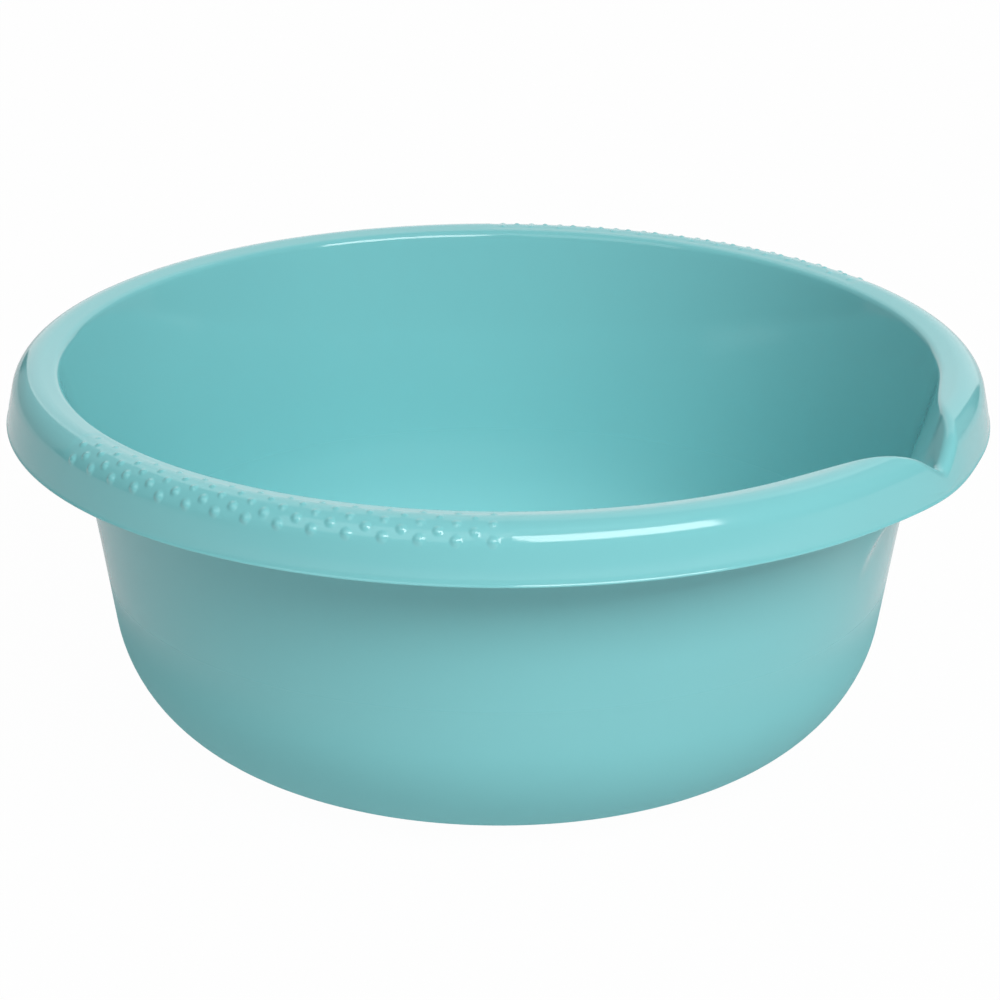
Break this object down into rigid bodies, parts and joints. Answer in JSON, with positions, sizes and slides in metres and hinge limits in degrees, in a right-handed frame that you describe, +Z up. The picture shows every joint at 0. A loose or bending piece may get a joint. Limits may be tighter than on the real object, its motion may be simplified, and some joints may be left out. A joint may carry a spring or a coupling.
{
  "type": "washing-up basin",
  "caption": "Round plastic basin with a rolled rim, a V-shaped pouring spout and dotted hand grips.",
  "frame": {"origin": "middle of the underside, on the surface that the basin stands on", "axes": "+Z up, +X from the middle towards the pouring spout, the hand grips near +Y and -Y"},
  "size_m": [0.3615, 0.36, 0.1441],
  "materials": {
    "basin_plastic": "glossy injection-moulded polypropylene, turquoise right through"
  },
  "bodies": {
    "root": {"basin": "basin_plastic"}
  },
  "joints": []
}
